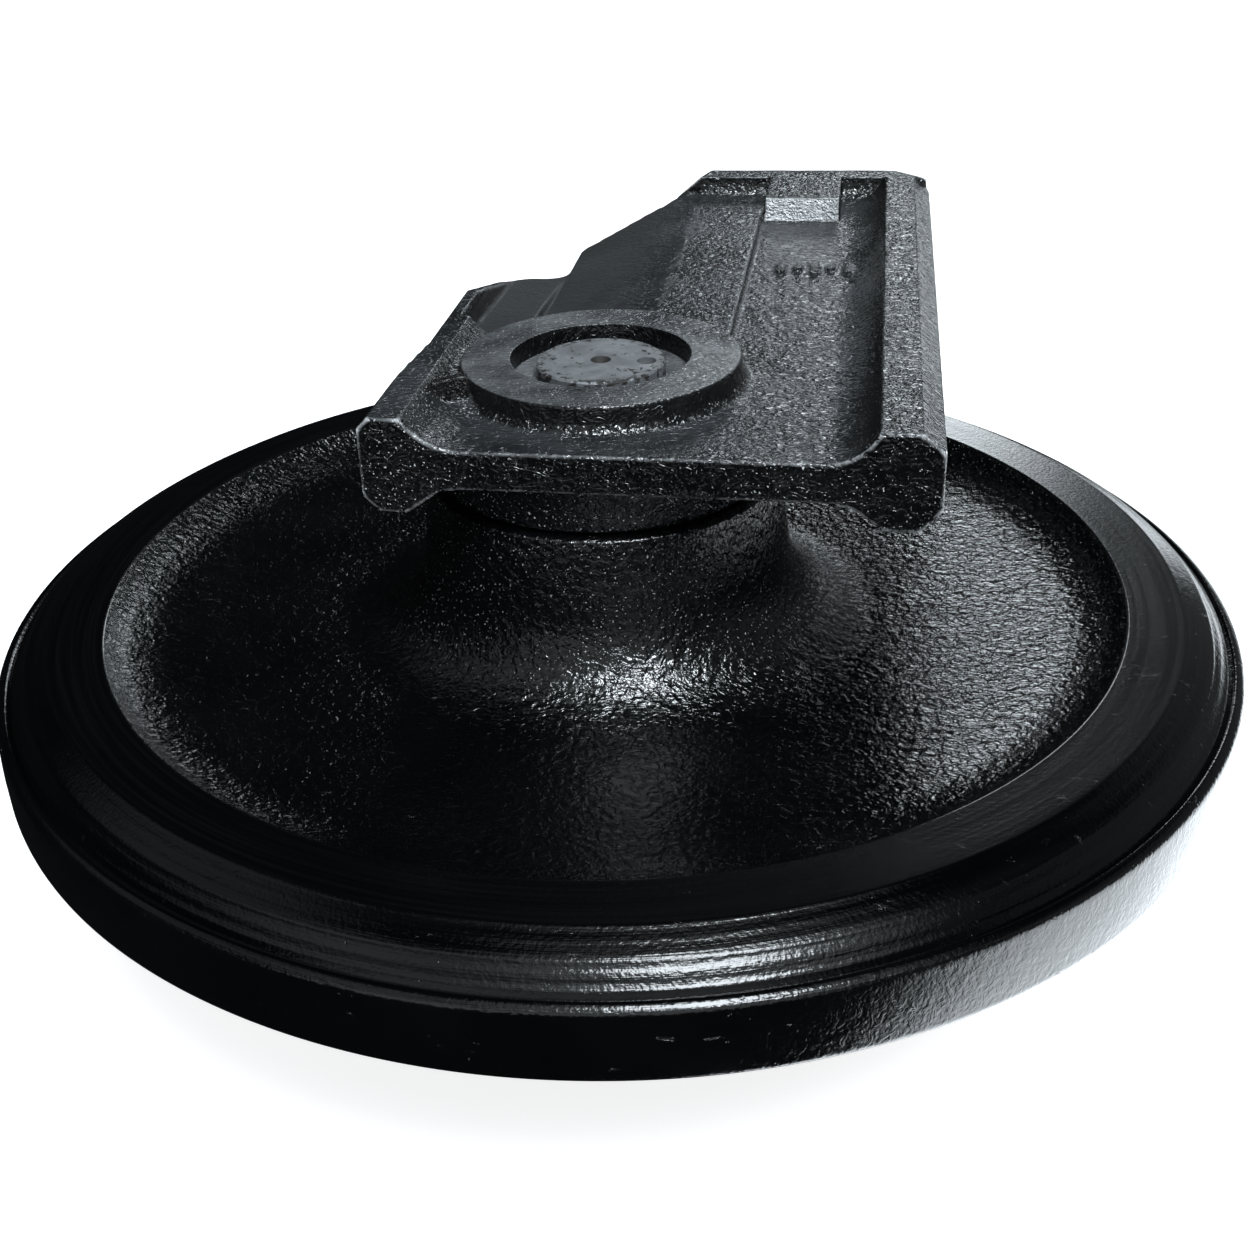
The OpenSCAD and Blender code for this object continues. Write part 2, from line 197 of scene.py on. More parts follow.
def painted_iron(name, paint, rough, skin, bump, dust_and_top_light=0.0, dust_and_top_light_colour=(0.1, 0.105, 0.11, 1),
                 glint=0.0, spec=0.5, edge=None, painted_glints=0.0, calm=None, finer=1.0, matt=0.0):
    """black gloss paint over a casting: pebbled, with a paler colour on what faces up that is partly a
    dusting and partly painted light from above; the small pale points are painted glints; edge and calm name
    the vertex values for rubbed edges, which are partly bare metal and partly painted edge highlights, and
    for smoother places"""
    mat, t, shader, place = new_material(name)
    skin_node = add(t, "ShaderNodeGroup", {}, node_tree=cast_skin)
    t.links.new(stretch(t, place, (finer, finer, finer)), skin_node.inputs["Vector"])
    for label, value in zip(("Pebbles", "Wrinkles", "Fine"), skin):
        skin_node.inputs[label].default_value = value
    cloud = skin_node.outputs["Cloud"]
    colour = mix_colour(t, ramp(t, cloud, 0.3, 0.7), paint,
                        tuple(c * 1.9 for c in paint[:3]) + (1,))
    normal = add(t, "ShaderNodeNewGeometry").outputs["Normal"]
    facing = add(t, "ShaderNodeSeparateXYZ", {0: normal}).outputs[2]
    up = ramp(t, facing, 0.55, 0.98)
    # Paler colour on what faces up: partly a dusting, partly painted light from above.
    dust_and_top_light_mask = sums(t, "MULTIPLY", up, ramp(t, cloud, 0.32, 0.68, 0.25, 1.0))
    dust_and_top_light_mask = sums(t, "MULTIPLY", dust_and_top_light_mask, dust_and_top_light)
    rise_of_skin = skin_node.outputs["Height"]
    roughness = ramp(t, cloud, 0.25, 0.75, rough[0], rough[1], "LINEAR")
    if calm:
        still = add(t, "ShaderNodeAttribute", {}, attribute_name=calm).outputs["Fac"]
        rough_part = sums(t, "MULTIPLY_ADD", still, -0.7, 1.0)
        # Smoother places keep less of that paler top colour, so they are painted darker as shade.
        dust_and_top_light_mask = sums(t, "MULTIPLY", dust_and_top_light_mask, rough_part)
        rise_of_skin = sums(t, "MULTIPLY", rise_of_skin, rough_part)
        roughness = sums(t, "MULTIPLY_ADD", still, matt, roughness)
    colour = mix_colour(t, dust_and_top_light_mask, colour, dust_and_top_light_colour)
    colour = mix_colour(t, sums(t, "MULTIPLY", skin_node.outputs["Pits"], 0.75), colour, PIT_BLACK)
    # Rubbed outer edges go pale: partly bare metal, partly painted edge highlights.
    if edge:
        worn_edge_and_highlight = add(t, "ShaderNodeAttribute", {}, attribute_name=edge).outputs["Fac"]
        broken = ramp(t, skin_node.outputs["Height"], 0.37, 0.52)
        worn_edge_and_highlight = sums(t, "MULTIPLY", ramp(t, worn_edge_and_highlight, 0.17, 0.6), broken)
        if calm:
            worn_edge_and_highlight = sums(t, "MULTIPLY", worn_edge_and_highlight, rough_part)
        colour = mix_colour(t, sums(t, "MULTIPLY", worn_edge_and_highlight, 0.7), colour, BARE_METAL_AND_GLINT)
    # Small pale points on faces that don't look up: painted glints.
    if painted_glints:
        many = ramp(t, cloud, 0.35, 0.6, 0.25, 1.0)
        many = sums(t, "MULTIPLY", skin_node.outputs["Sparkle"], many)
        many = sums(t, "MULTIPLY", many, sums(t, "SUBTRACT", 1.0, up))
        colour = mix_colour(t, sums(t, "MULTIPLY", many, painted_glints), colour, BARE_METAL_AND_GLINT)
    shader.inputs["Specular IOR Level"].default_value = spec
    if glint:
        bright = ramp(t, skin_node.outputs["Sparkle"], 0, 1, 1.0, 1.0 - glint)
        roughness = sums(t, "MULTIPLY", roughness, bright)
    t.links.new(colour, shader.inputs["Base Color"])
    t.links.new(roughness, shader.inputs["Roughness"])
    relief = add(t, "ShaderNodeBump", {"Height": rise_of_skin, "Strength": 1.0,
                 "Distance": bump * MM})
    t.links.new(relief.outputs[0], shader.inputs["Normal"])
    return mat


def turned_iron(name, paint, rough, rings, ring_bump, skin_bump, spec=0.5):
    """black paint over a turned face: the tool's rings show through, with a few grains"""
    mat, t, shader, place = new_material(name)
    lathe = add(t, "ShaderNodeGroup", {}, node_tree=lathe_rings)
    t.links.new(place, lathe.inputs["Vector"])
    lathe.inputs["Rings"].default_value = rings
    lathe.inputs["Length"].default_value = 2.6
    skin_node = add(t, "ShaderNodeGroup", {}, node_tree=cast_skin)
    t.links.new(place, skin_node.inputs["Vector"])
    skin_node.inputs["Wrinkles"].default_value = 0.0
    skin_node.inputs["Fine"].default_value = 0.7
    colour = mix_colour(t, ramp(t, lathe.outputs["Streak"], 0.35, 0.75), paint,
                        tuple(c * 2.2 for c in paint[:3]) + (1,))
    t.links.new(colour, shader.inputs["Base Color"])
    roughness = ramp(t, lathe.outputs["Streak"], 0.3, 0.7, rough[0], rough[1], "LINEAR")
    t.links.new(roughness, shader.inputs["Roughness"])
    ring_relief = add(t, "ShaderNodeBump", {"Height": lathe.outputs["Height"], "Strength": 1.0,
                      "Distance": ring_bump * MM})
    relief = add(t, "ShaderNodeBump", {"Height": skin_node.outputs["Height"], "Strength": 1.0,
                 "Distance": skin_bump * MM, "Normal": ring_relief.outputs[0]})
    t.links.new(relief.outputs[0], shader.inputs["Normal"])
    shader.inputs["Specular IOR Level"].default_value = spec
    return mat


def finish_piece(bm, name, materials, smooth=40.0):
    """closes a bmesh into an object at the origin, shaded smooth up to an angle"""
    mesh = bpy.data.meshes.new(name)
    bm.to_mesh(mesh)
    bm.free()
    for mat in materials:
        mesh.materials.append(mat)
    mesh.shade_smooth()
    mesh.set_sharp_from_angle(angle=math.radians(smooth))
    piece = bpy.data.objects.new(name, mesh)
    bpy.context.scene.collection.objects.link(piece)
    return piece


def spun(outline, steps, rounded=()):
    """a closed outline (radius, height in mm) turned all the way round Z;
    rounded lists (index, size, segments) of the corners to round off first"""
    bm = bmesh.new()
    ring = [bm.verts.new((r * MM, 0, z * MM)) for r, z in outline]
    bm.faces.new(ring)
    bm.verts.ensure_lookup_table()
    for size, segments in sorted({(s, n) for _, s, n in rounded}):
        corners = [ring[i] for i, s, n in rounded if (s, n) == (size, segments)]
        bmesh.ops.bevel(bm, geom=corners, offset=size * MM, offset_type="OFFSET", segments=segments,
                        profile=0.5, affect="VERTICES", material=-1)
    bmesh.ops.delete(bm, geom=bm.faces[:], context="FACES_ONLY")
    bmesh.ops.spin(bm, geom=bm.verts[:] + bm.edges[:], cent=(0, 0, 0), axis=(0, 0, 1),
                   angle=math.tau, steps=steps, use_merge=True)
    bmesh.ops.remove_doubles(bm, verts=bm.verts[:], dist=1e-6)
    bmesh.ops.recalc_face_normals(bm, faces=bm.faces[:])
    return bm


# Cone of the rim: a run of shallow tool grooves, with the depth of each in mm.
cone_grooves = (0.0, 0.28, 0.0, 0.12, 0.0, 0.34, 0.05, 0.0, 0.18, 0.0, 0.3, 0.0, 0.1, 0.0, 0.22, 0.0)
# The cone runs in and up from its foot (radius, height), and is crowned outwards a little.
CONE_FOOT = (287.4, 18.1)
CONE_IN, CONE_UP = 19.2, 13.9
CONE_OUTWARD = (0.586, 0.81)
CROWN_STEEP, CROWN_GENTLE, CROWN_BLEND = 4.4, 3.9, 0.3
cone = []
for i, cut in enumerate(cone_grooves):
    f = (i + 1) / (len(cone_grooves) + 1)
    steep, gentle = CROWN_STEEP * f, CROWN_GENTLE * (1 - f)
    crown = (steep + gentle - math.sqrt((steep - gentle) ** 2 + CROWN_BLEND)) / 2 - cut
    cone.append((CONE_FOOT[0] - CONE_IN * f + crown * CONE_OUTWARD[0],
                 CONE_FOOT[1] + CONE_UP * f + crown * CONE_OUTWARD[1]))
# The outline from the bore over the hub, web and rim, as radius and height in mm.
bore = [(41, 0), (41, 13.3), (35, 13.3), (35, 67.3), (42, 67.3), (42, 72.3), (49, 72.3), (49, 88.3)]
hub = [(84, 88.3), (92.5, 13)]
web = [(142, 14.2), (209.7, 18.2), (223.7, 20), (235.7, 24.5), (242.8, 31.4)]
rim = [(243.9, 32), (244.4, 32), (267.2, 32), (268.2, 32)]
shoulder = [CONE_FOOT, (288.0, 16.9), (288.6, 16.1), (289.2, 16.5), (290.0, 17.1), (290.8, 17.3),
            (291.6, 17.1), (292.5, 16.5), (293.5, 15.7), (294.2, 14.8), (294.5, 13.8), (294.7, 12.5)]
upper = bore + hub + web + rim + cone[::-1] + shoulder
lower = [(r, -z) for r, z in upper[:0:-1]]
outline = upper + [(295, 0)] + lower
corners = []
for point, size, segments in (((84, 88.3), 1.4, 4), ((92.5, 13), 38, 26), ((142, 14.2), 9, 3),
                              ((223.7, 20), 6, 5), ((209.7, 18.2), 7, 4), ((235.7, 24.5), 4.6, 5),
                              ((242.8, 31.4), 0.3, 2), ((268.2, 32), 0.5, 2), ((49, 88.3), 0.8, 2)):
    i = upper.index(point)
    corners += [(i, size, segments), (len(outline) - i, size, segments)]
bm = spun(outline, WHEEL_STEPS, corners)


def held(value):
    """value kept between 0 and 1"""
    return min(max(value, 0), 1)


def eased(value):
    """0 to 1 with a soft start and a soft end"""
    return value * value * (3 - 2 * value)


# The open part of the web has a third less relief than the rest, fading out at hub and rim.
calm = bm.verts.layers.float.new("calm")
for v in bm.verts:
    reach = math.hypot(v.co.x, v.co.y) / MM
    v[calm] = 0.5 * eased(held((reach - 128) / 34) * held((236 - reach) / 20))
SIDE_RING, CONE, FLANGE, BORE = 1, 2, 3, 4
for face in bm.faces:
    middle = face.calc_center_median()
    reach = math.hypot(middle.x, middle.y) / MM
    if 243.0 < reach < 293.2 and abs(middle.z) > 15.2 * MM:
        face.material_index = SIDE_RING if reach < 268.4 else CONE
    elif reach >= 287:
        face.material_index = FLANGE
    elif reach < 50:
        face.material_index = BORE
WHEEL_BLACK = (0.0006, 0.0007, 0.0008, 1)
# The web and hub carry painted glints.
wheel_paint = painted_iron("wheel_cast_paint", WHEEL_BLACK, (0.12, 0.2), (0.85, 0.1, 0.14), 1.15,
                           spec=0.5, glint=0.5, painted_glints=0.42, calm="calm", finer=1.15)
ring_paint = turned_iron("wheel_side_ring_paint", (0.0007, 0.0008, 0.0010, 1), (0.16, 0.24), 2600,
                         0.02, 0.07)
cone_paint = turned_iron("wheel_cone_paint", WHEEL_BLACK, (0.08, 0.18), 900, 0.15, 0.16, spec=0.32)
band_paint = painted_iron("wheel_flange_paint", WHEEL_BLACK, (0.14, 0.24), (0.6, 0.1, 0.3), 0.4,
                          spec=0.6, glint=0.4)
hub_bore = turned_iron("wheel_bore_steel", (0.16, 0.16, 0.165, 1), (0.3, 0.42), 2200, 0.03, 0.03)
wheel = finish_piece(bm, "idler_wheel", (wheel_paint, ring_paint, cone_paint, band_paint, hub_bore), 38)
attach(wheel, "wheel")
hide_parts("wheel")

# ---- Bushings ----
# Two flanged bronze sleeves pressed into the hub from both ends, their flanges outermost.
# They are bored to run on the shaft with an oil film and keep the fine marks of the tool.
def bare_metal(name, colour, dark, rough, rings, ring_bump, grain_bump, metallic=1.0, spots=0.0,
               spot_and_shade_colour=(0.05, 0.03, 0.02, 1), rim=None, drilled=0.0):
    """machined metal: tool rings, slow stains and small dark spots; outside the radius rim
    rust has eaten in, and inside the radius drilled the hole is painted dark as shade (both in mm)"""
    mat, t, shader, place = new_material(name)
    lathe = add(t, "ShaderNodeGroup", {}, node_tree=lathe_rings)
    t.links.new(place, lathe.inputs["Vector"])
    lathe.inputs["Rings"].default_value = rings
    stain = noise(t, place, 60, 5, 0.6, 0.6)
    grain = noise(t, place, 900, 3, 0.6)
    base = mix_colour(t, ramp(t, stain, 0.35, 0.7), colour, dark)
    base = mix_colour(t, sums(t, "MULTIPLY", ramp(t, lathe.outputs["Streak"], 0.4, 0.7), 0.3), base, dark)
    spot_and_hole_shade = ramp(t, noise(t, place, 210, 3, 0.6, 0.3), 0.62, 0.67)
    if rim:
        flat = stretch(t, place, (1, 1, 0))
        away = add(t, "ShaderNodeVectorMath", {0: flat}, operation="LENGTH").outputs["Value"]
        eaten = sums(t, "MULTIPLY", ramp(t, away, (rim - 2.0) * MM, (rim + 1.2) * MM),
                     ramp(t, noise(t, place, 260, 3, 0.6), 0.47, 0.56))
        spot_and_hole_shade = sums(t, "MAXIMUM", spot_and_hole_shade, eaten)
        # Inside the drilled radius the hole is painted dark as shade.
        spot_and_hole_shade = sums(t, "MAXIMUM", spot_and_hole_shade, ramp(t, away, (drilled - 0.4) * MM, drilled * MM, 1.0, 0.0))
    spot_and_hole_shade = sums(t, "MULTIPLY", spot_and_hole_shade, spots)
    base = mix_colour(t, spot_and_hole_shade, base, spot_and_shade_colour)
    t.links.new(base, shader.inputs["Base Color"])
    shine = sums(t, "MULTIPLY", sums(t, "SUBTRACT", 1.0, spot_and_hole_shade), metallic)
    t.links.new(shine, shader.inputs["Metallic"])
    roughness = ramp(t, stain, 0.3, 0.7, rough[0], rough[1], "LINEAR")
    t.links.new(sums(t, "ADD", roughness, sums(t, "MULTIPLY", spot_and_hole_shade, 0.3)), shader.inputs["Roughness"])
    first = add(t, "ShaderNodeBump", {"Height": lathe.outputs["Height"], "Strength": 1.0,
                "Distance": ring_bump * MM})
    second = add(t, "ShaderNodeBump", {"Height": sums(t, "MULTIPLY_ADD", spot_and_hole_shade, -0.8, grain), "Strength": 1.0,
                 "Distance": grain_bump * MM, "Normal": first.outputs[0]})
    t.links.new(second.outputs[0], shader.inputs["Normal"])
    return mat


def repaint(names, mat):
    """a CAD node whose shape is right keeps it and takes a finished material"""
    for name in names:
        for slot in nodes[name].material_slots:
            slot.material = mat


bronze = bare_metal("bushing_bronze", (0.62, 0.40, 0.17, 1), (0.33, 0.20, 0.09, 1), (0.26, 0.4),
                    2400, 0.02, 0.02, spots=0.35)
repaint(("bushing_upper", "bushing_lower"), bronze)

# ---- Shaft ----
# One ground steel bar, faced at both ends, with centre drillings from the lathe, painted dark inside
# as shade. The end faces have gone dull grey with small rust spots; oil goes in through the off-centre hole.
shaft_steel = bare_metal("shaft_dull_steel", (0.2, 0.21, 0.22, 1), (0.1, 0.105, 0.11, 1), (0.36, 0.5),
                         2100, 0.02, 0.14, metallic=0.3, spots=1.0,
                         spot_and_shade_colour=(0.012, 0.01, 0.009, 1), rim=26.5, drilled=5.0)
repaint(("shaft",), shaft_steel)
# The plug is coloured nearly black as painted shade, so that the filler hole it sits in reads dark.
plug_steel = bare_metal("oil_plug_steel", (0.10, 0.10, 0.105, 1), (0.02, 0.02, 0.02, 1), (0.3, 0.5),
                        2600, 0.02, 0.06, metallic=0.7, spots=0.8)
repaint(("oil_plug",), plug_steel)
washer_brass = bare_metal("plug_washer_brass", (0.70, 0.52, 0.22, 1), (0.40, 0.28, 0.12, 1),
                          (0.28, 0.45), 2200, 0.02, 0.03, spots=0.3)
repaint(("plug_washer",), washer_brass)

# ---- Floating seals ----
# Pairs of hard iron rings lapped face to face, each seated on a fat rubber ring in the hub
# or in the bracket's boss; a thin rubber O-ring closes the boss on the shaft.
seal_iron = bare_metal("seal_ring_iron", (0.44, 0.445, 0.45, 1), (0.26, 0.26, 0.265, 1), (0.2, 0.34),
                       3000, 0.01, 0.02, metallic=0.9, spots=0.2)
repaint(("seal_ring_turning_upper", "seal_ring_turning_lower",
         "seal_ring_fixed_upper", "seal_ring_fixed_lower"), seal_iron)
# The rubber takes a little paler top colour: a dusting and painted light from above.
seal_rubber = painted_iron("seal_rubber_black", (0.012, 0.012, 0.012, 1), (0.5, 0.7), (0.3, 0.0, 0.5),
                           0.05, dust_and_top_light=0.1)
repaint(("rubber_turning_upper", "rubber_turning_lower", "rubber_fixed_upper", "rubber_fixed_lower",
         "o_ring_upper", "o_ring_lower"), seal_rubber)

# ---- Slide brackets ----
# Two cast trays, one over the wheel and its mirror image under it. Each has a rail down both
# long sides, a boss round the shaft end and a square lug with a tapped hole at the rear.
# The casting keeps rounded edges and a rough skin; only the boss ring is faced on a lathe.
SAND_GRAIN = 1.05
SKIN_WAVES = 0.28


def cast_copy(name):
    """the CAD casting with its corners rounded off, as sand and paint leave them"""
    bm = bmesh.new()
    bm.from_mesh(nodes[name].data)
    bmesh.ops.remove_doubles(bm, verts=bm.verts[:], dist=1e-6)
    mesh = bpy.data.meshes.new(name + "_start")
    bm.to_mesh(mesh)
    bm.free()
    start = bpy.data.objects.new(name + "_start", mesh)
    bpy.context.scene.collection.objects.link(start)
    sand = start.modifiers.new("sand", "REMESH")
    sand.mode = "VOXEL"
    sand.voxel_size = SAND_GRAIN * MM
    sand.use_smooth_shade = True
    soften = start.modifiers.new("soften", "SMOOTH")
    soften.factor = 0.5
    soften.iterations = 2
    clouds = bpy.data.textures.new("sand_waves", "CLOUDS")
    clouds.noise_scale = 0.011
    clouds.noise_depth = 2
    waves = start.modifiers.new("waves", "DISPLACE")
    waves.texture = clouds
    waves.texture_coords = "LOCAL"
    waves.strength = SKIN_WAVES * MM
    waves.mid_level = 0.5
    thin = start.modifiers.new("thin", "DECIMATE")
    thin.ratio = 0.36
    graph = bpy.context.evaluated_depsgraph_get()
    made = bpy.data.meshes.new_from_object(start.evaluated_get(graph))
    bpy.data.objects.remove(start)
    return made


def mark_edges(mesh, label, reach):
    """a value per vertex: 1 on sharp outer edges, 0 on flats and in hollows"""
    count = len(mesh.vertices)
    co = np.zeros(count * 3)
    mesh.vertices.foreach_get("co", co)
    co = co.reshape(-1, 3)
    normal = np.zeros(count * 3)
    mesh.vertex_normals.foreach_get("vector", normal)
    normal = normal.reshape(-1, 3)
    pairs = np.zeros(len(mesh.edges) * 2, int)
    mesh.edges.foreach_get("vertices", pairs)
    pairs = pairs.reshape(-1, 2)
    bend = np.zeros(count)
    many = np.zeros(count)
    for a, b in ((0, 1), (1, 0)):
        step = co[pairs[:, b]] - co[pairs[:, a]]
        length = np.linalg.norm(step, axis=1) + 1e-9
        np.add.at(bend, pairs[:, a], -(step * normal[pairs[:, a]]).sum(1) / length)
        np.add.at(many, pairs[:, a], 1)
    bend /= np.maximum(many, 1)
    for _ in range(2):
        soft = bend.copy()
        for a, b in ((0, 1), (1, 0)):
            np.add.at(soft, pairs[:, a], bend[pairs[:, b]])
        bend = soft / (many + 1)
    made = mesh.attributes.new(label, "FLOAT", "POINT")
    made.data.foreach_set("value", np.clip(bend / reach, 0, 1))


def turned_over(bm):
    """the bmesh mirrored through the wheel's middle plane, its faces still looking out"""
    bmesh.ops.scale(bm, vec=(1, 1, -1), verts=bm.verts[:])
    bmesh.ops.reverse_faces(bm, faces=bm.faces[:])


BRACKET_BLACK = (0.0012, 0.0014, 0.0016, 1)
# Its top faces take a paler colour, partly a dusting and partly painted light from above; its edges carry
# painted highlights and its sides painted glints.
bracket_paint = painted_iron("bracket_cast_paint", BRACKET_BLACK, (0.14, 0.24), (0.85, 0.26, 0.12), 1.15,
                             dust_and_top_light=0.4, dust_and_top_light_colour=(0.075, 0.08, 0.085, 1), spec=0.6, glint=0.6, edge="edge",
                             painted_glints=0.75, calm="calm", finer=1.12, matt=0.42)
lug_metal = painted_iron("lug_cut_face_metal", (0.6, 0.61, 0.62, 1), (0.25, 0.4), (1.0, 0.5, 0.9), 6.0,
                         spec=1.0, finer=1.6)
upper_mesh = cast_copy("bracket_upper")
upper_mesh.materials.clear()
upper_mesh.materials.append(bracket_paint)
upper_mesh.materials.append(lug_metal)
bm = bmesh.new()
bm.from_mesh(upper_mesh)
# Make room for the turned boss ring, which is set over the casting as its own crisp piece:
# the boss is lowered and drawn in a little, and its recess is made wider and deeper.
BOSS_TOP, BOSS_DRAW = 140.6, 0.968
RECESS_WALL, RECESS_FLOOR = 43.6, 131.6
for v in bm.verts:
    reach = math.hypot(v.co.x, v.co.y) / MM
    if v.co.z > 137.3 * MM and reach < 68.5:
        v.co.z = min(v.co.z, BOSS_TOP * MM)
        if reach > 60:
            v.co.x *= BOSS_DRAW
            v.co.y *= BOSS_DRAW
    if v.co.z > 131.0 * MM and reach < 46.0:
        if reach > 39.0:
            v.co.x *= RECESS_WALL / reach
            v.co.y *= RECESS_WALL / reach
        elif v.co.z > RECESS_FLOOR * MM:
            v.co.z = RECESS_FLOOR * MM
# The face of the rear lug that looks along the tray is bare metal.
LUG_METAL = 1
for face in bm.faces:
    face.smooth = True
    middle = face.calc_center_median() / MM
    on_lug = 266.2 < middle.y < 268.4 and 57 < middle.x < 101.5 and middle.z > 128
    if on_lug and face.normal.y < -0.55:
        face.material_index = LUG_METAL
# Behind the boss, the left of the tray and the rail's inner side have a flatter, duller skin; they also keep
# less of the paler top colour, which paints them darker as shade.
calm = bm.verts.layers.float.new("calm")
for v in bm.verts:
    x, y, z = v.co / MM
    side = held((36 - x) / 66) * held((y - 30) / 40)
    low = 122 < z < (136 if x > -46 else 140.5) and x > -79
    v[calm] = eased(side) if low else 0.0
bm.to_mesh(upper_mesh)
bm.free()
mark_edges(upper_mesh, "edge", 0.32)

tray_upper = bpy.data.objects.new("slide_bracket_upper", upper_mesh)
bpy.context.scene.collection.objects.link(tray_upper)
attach(tray_upper, "carrier")
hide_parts("bracket_upper")

bm = bmesh.new()
bm.from_mesh(upper_mesh)
turned_over(bm)
lower_mesh = bpy.data.meshes.new("slide_bracket_lower")
bm.to_mesh(lower_mesh)
bm.free()
lower_mesh.materials.append(bracket_paint)
lower_mesh.materials.append(lug_metal)
tray_lower = bpy.data.objects.new("slide_bracket_lower", lower_mesh)
bpy.context.scene.collection.objects.link(tray_lower)
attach(tray_lower, "carrier")
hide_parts("bracket_lower")

# The boss ring's outline, as radius and height in mm, and the corners rounded off.
ring_outline = [(30.06, 128), (30.06, 133.3), (41.85, 133.3), (41.85, 143.3), (42.8, 143.3),
                (63.3, 143.3), (64.3, 143.3), (65.2, 142.2), (66.0, 134.6), (67.2, 131.5), (64, 128)]
ring_corners = ((3, 0.4, 3), (6, 0.5, 3), (7, 0.6, 3), (2, 1.2, 3), (8, 1.4, 4))
# The ring's top takes a strong paler colour, partly a dusting and partly painted light from above.
ring_paint_top = painted_iron("boss_ring_paint", BRACKET_BLACK, (0.13, 0.34), (0.75, 0.3, 0.14), 0.8,
                              dust_and_top_light=0.8, dust_and_top_light_colour=(0.15, 0.157, 0.163, 1), spec=0.6, glint=0.5, finer=1.1)
for side, name in ((1, "boss_ring_upper"), (-1, "boss_ring_lower")):
    bm = spun(ring_outline, 180, ring_corners)
    if side < 0:
        turned_over(bm)
    piece = finish_piece(bm, name, (ring_paint_top,), 34)
    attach(piece, "carrier")

# Plain raised bars on the tray floor, where the foundry puts its marks.
bm = bmesh.new()
for i in range(5):
    length = 16.6 - (i % 2) * 8
    made = bmesh.ops.create_cube(bm, size=1.0)["verts"]
    bmesh.ops.scale(bm, vec=(4.4 * MM, length * MM, 5.0 * MM), verts=made)
    bmesh.ops.translate(bm, vec=((73 + i * 9) * MM, (171 + (i % 2)) * MM, 130.6 * MM), verts=made)
bmesh.ops.bevel(bm, geom=bm.edges[:], offset=0.5 * MM, offset_type="OFFSET", segments=2, profile=0.5,
                affect="EDGES", material=-1)
# The bars' paint carries painted glints.
marks_paint = painted_iron("cast_marks_paint", BRACKET_BLACK, (0.12, 0.2), (0.6, 0.5, 0.2), 0.9,
                           spec=0.8, painted_glints=0.9, finer=1.5)
marks_upper = finish_piece(bm, "cast_marks_upper", (marks_paint,), 50)

# Lug for the lock pin: a short ridge out from the boss, steep on one side, long on the other.
# Each corner is a radius in mm, an angle in degrees and a height in mm.
bm = bmesh.new()
for reach, angle, high in ((64.0, 206.0, 143.9), (84.4, 208.2, 143.6), (64.0, 211.0, 143.6),
                           (82.6, 211.4, 143.0), (65.5, 222.5, 130.0), (76.5, 221.5, 129.0),
                           (88.5, 211.5, 128.0), (88.0, 203.5, 131.0), (64.0, 199.5, 131.0),
                           (65.0, 211.0, 124.0)):
    turned = math.radians(angle)
    bm.verts.new((reach * MM * math.cos(turned), reach * MM * math.sin(turned), high * MM))
hull = bmesh.ops.convex_hull(bm, input=bm.verts[:])
inside = [g for g in hull["geom_interior"] if isinstance(g, bmesh.types.BMVert)]
bmesh.ops.delete(bm, geom=inside, context="VERTS")
bmesh.ops.recalc_face_normals(bm, faces=bm.faces[:])
bmesh.ops.bevel(bm, geom=bm.edges[:], offset=0.9 * MM, offset_type="OFFSET", segments=3, profile=0.5,
                affect="EDGES", material=-1)
# Its paint is thick with painted glints, which make its faces read bright.
wedge_paint = painted_iron("pin_wedge_paint", (0.001, 0.0012, 0.0014, 1), (0.12, 0.2), (0.6, 0.7, 0.2), 2.2,
                           spec=1.0, painted_glints=1.0, finer=2.2)
wedge_upper = finish_piece(bm, "pin_wedge_upper", (wedge_paint,), 60)
for piece in (marks_upper, wedge_upper):
    bm = bmesh.new()
    bm.from_mesh(piece.data)
    turned_over(bm)
    below = finish_piece(bm, piece.name.replace("upper", "lower"), piece.data.materials[:], 55)
    for each in (piece, below):
        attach(each, "carrier")

# ---- Lock pins ----
# Plain steel pins, one driven through the lug on each boss into the side of the shaft, so
# that the shaft can't turn or slide. Their outer ends are left bare.
pin_steel = bare_metal("lock_pin_steel", (0.40, 0.41, 0.42, 1), (0.2, 0.2, 0.2, 1), (0.3, 0.45), 1800,
                       0.01, 0.05, metallic=0.85, spots=0.6)
repaint(("lock_pin_upper", "lock_pin_lower"), pin_steel)

# ---- Floor and light ----
# A plain pale floor that gloss doesn't mirror, and soft fields of light placed by direction:
# a bright low wall behind on the left, a small strong box overhead, light from below on the
# right, and small or weak fields elsewhere. The black paint is drawn by what it mirrors.
bm = bmesh.new()
bmesh.ops.create_grid(bm, x_segments=1, y_segments=1, size=9)
bmesh.ops.translate(bm, vec=(0, 0, cad_box[0][2]), verts=bm.verts[:])
floor = finish_piece(bm, "floor", ())
floor_mat = bpy.data.materials.new("pale_floor")
floor_mat.use_nodes = True
t = floor_mat.node_tree
shader = t.nodes["Principled BSDF"]
shader.inputs["Base Color"].default_value = (0.55, 0.55, 0.55, 1)
shader.inputs["Roughness"].default_value = 0.9
shader.inputs["Specular IOR Level"].default_value = 0.0
shader.inputs["Emission Color"].default_value = (1, 1, 1, 1)
shader.inputs["Emission Strength"].default_value = 0.82
floor.data.materials.append(floor_mat)
floor.visible_glossy = False

world = bpy.data.worlds.new("studio")
world.use_nodes = True
bpy.context.scene.world = world
t = world.node_tree
direction = add(t, "ShaderNodeTexCoord").outputs["Generated"]
xyz = add(t, "ShaderNodeSeparateXYZ", {0: direction}).outputs
